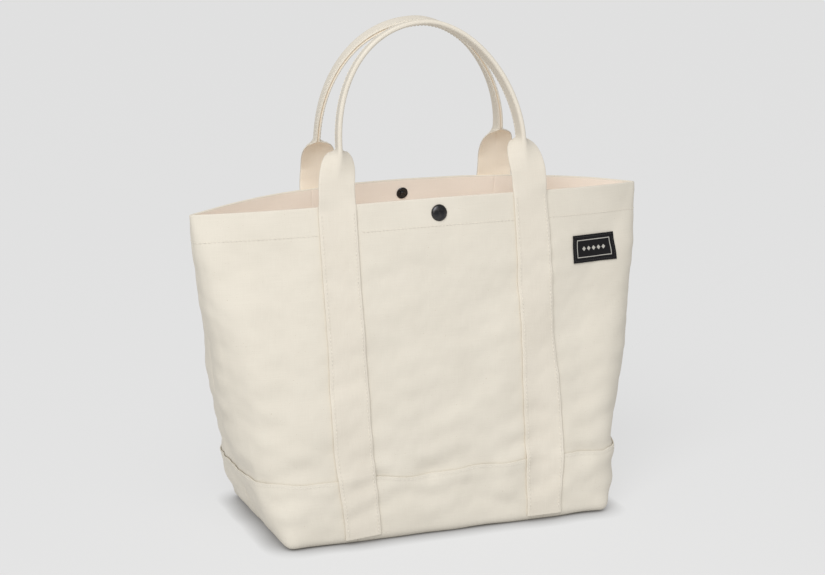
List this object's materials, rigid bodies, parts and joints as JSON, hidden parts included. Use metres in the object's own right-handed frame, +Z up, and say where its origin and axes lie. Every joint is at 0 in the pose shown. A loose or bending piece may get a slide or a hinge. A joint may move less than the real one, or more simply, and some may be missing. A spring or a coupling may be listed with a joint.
{
  "type": "canvas tote bag",
  "caption": "Open-topped heavy canvas tote with a boxed base, doubled base band, two folded webbing handles, an inside hem and a press stud at the mouth.",
  "frame": {"origin": "middle of the base, on the surface that the bag stands on", "axes": "+Z up, +X to the right as seen from the front, +Y from the front wall to the back wall"},
  "size_m": [0.4884, 0.1964, 0.517],
  "materials": {
    "canvas": "plain woven natural cotton canvas, matt",
    "strap": "folded natural cotton canvas strap, matt",
    "binding": "cotton binding tape, matt",
    "thread": "natural polyester-cotton sewing thread",
    "gunmetal": "dark gunmetal plated brass, satin",
    "label": "black woven damask label"
  },
  "bodies": {
    "bag_base": {"outer_bottom": "canvas", "inner_bottom": "canvas", "left_front_side": "canvas", "left_back_side": "canvas", "right_front_side": "canvas", "right_back_side": "canvas", "left_front_base_band": "canvas", "left_back_base_band": "canvas", "right_front_base_band": "canvas", "right_back_base_band": "canvas", "left_front_hem": "canvas", "left_back_hem": "canvas", "right_front_hem": "canvas", "right_back_hem": "canvas", "left_side_binding": "binding", "right_side_binding": "binding", "left_end_binding": "binding", "right_end_binding": "binding", "label": "label", "label_stitching": "thread", "left_end_stitching": "thread", "right_end_stitching": "thread"},
    "front_wall": {"front_panel": "canvas", "front_base_band": "canvas", "front_hem": "canvas", "front_left_strap": "strap", "front_right_strap": "strap", "snap_cap": "gunmetal", "snap_socket": "gunmetal", "front_strap_stitching": "thread", "front_hem_stitching": "thread", "front_band_stitching": "thread"},
    "back_wall": {"back_panel": "canvas", "back_base_band": "canvas", "back_hem": "canvas", "back_left_strap": "strap", "back_right_strap": "strap", "snap_post": "gunmetal", "snap_stud": "gunmetal", "back_strap_stitching": "thread", "back_hem_stitching": "thread", "back_band_stitching": "thread"},
    "front_strap_bends": {"front_left_strap_bend": "strap", "front_right_strap_bend": "strap"},
    "back_strap_bends": {"back_left_strap_bend": "strap", "back_right_strap_bend": "strap"},
    "front_carry_handle": {"front_handle": "strap"},
    "back_carry_handle": {"back_handle": "strap"}
  },
  "joints": [
    {"name": "mouth_close", "type": "hinge", "parent": "bag_base", "child": "front_wall", "pos_m": [0, -0.0925, 0], "axis": [-1, 0, 0], "range_deg": [0, 7], "stiffness_Nm_per_rad": 3, "springref_deg": -8.59},
    {"name": "back_wall_close", "type": "hinge", "parent": "bag_base", "child": "back_wall", "pos_m": [0, 0.0925, 0], "axis": [1, 0, 0], "range_deg": [0, 7]},
    {"name": "front_strap_bend", "type": "hinge", "parent": "front_wall", "child": "front_strap_bends", "pos_m": [0, -0.04916, 0.33903], "axis": [-1, 0, 0], "range_deg": [-30.5, 0]},
    {"name": "back_strap_bend", "type": "hinge", "parent": "back_wall", "child": "back_strap_bends", "pos_m": [0, 0.04916, 0.33903], "axis": [1, 0, 0], "range_deg": [-30.5, 0]},
    {"name": "front_handle_swing", "type": "hinge", "parent": "front_strap_bends", "child": "front_carry_handle", "pos_m": [0, -0.05528, 0.35102], "axis": [1, 0, 0], "range_deg": [0, 150]},
    {"name": "back_handle_swing", "type": "hinge", "parent": "back_strap_bends", "child": "back_carry_handle", "pos_m": [0, 0.05528, 0.35102], "axis": [-1, 0, 0], "range_deg": [0, 150]}
  ],
  "couplings": [
    {"joint": "back_wall_close", "follows": "mouth_close", "ratio": 1},
    {"joint": "front_strap_bend", "follows": "mouth_close", "ratio": -4.3},
    {"joint": "back_strap_bend", "follows": "mouth_close", "ratio": -4.3}
  ]
}
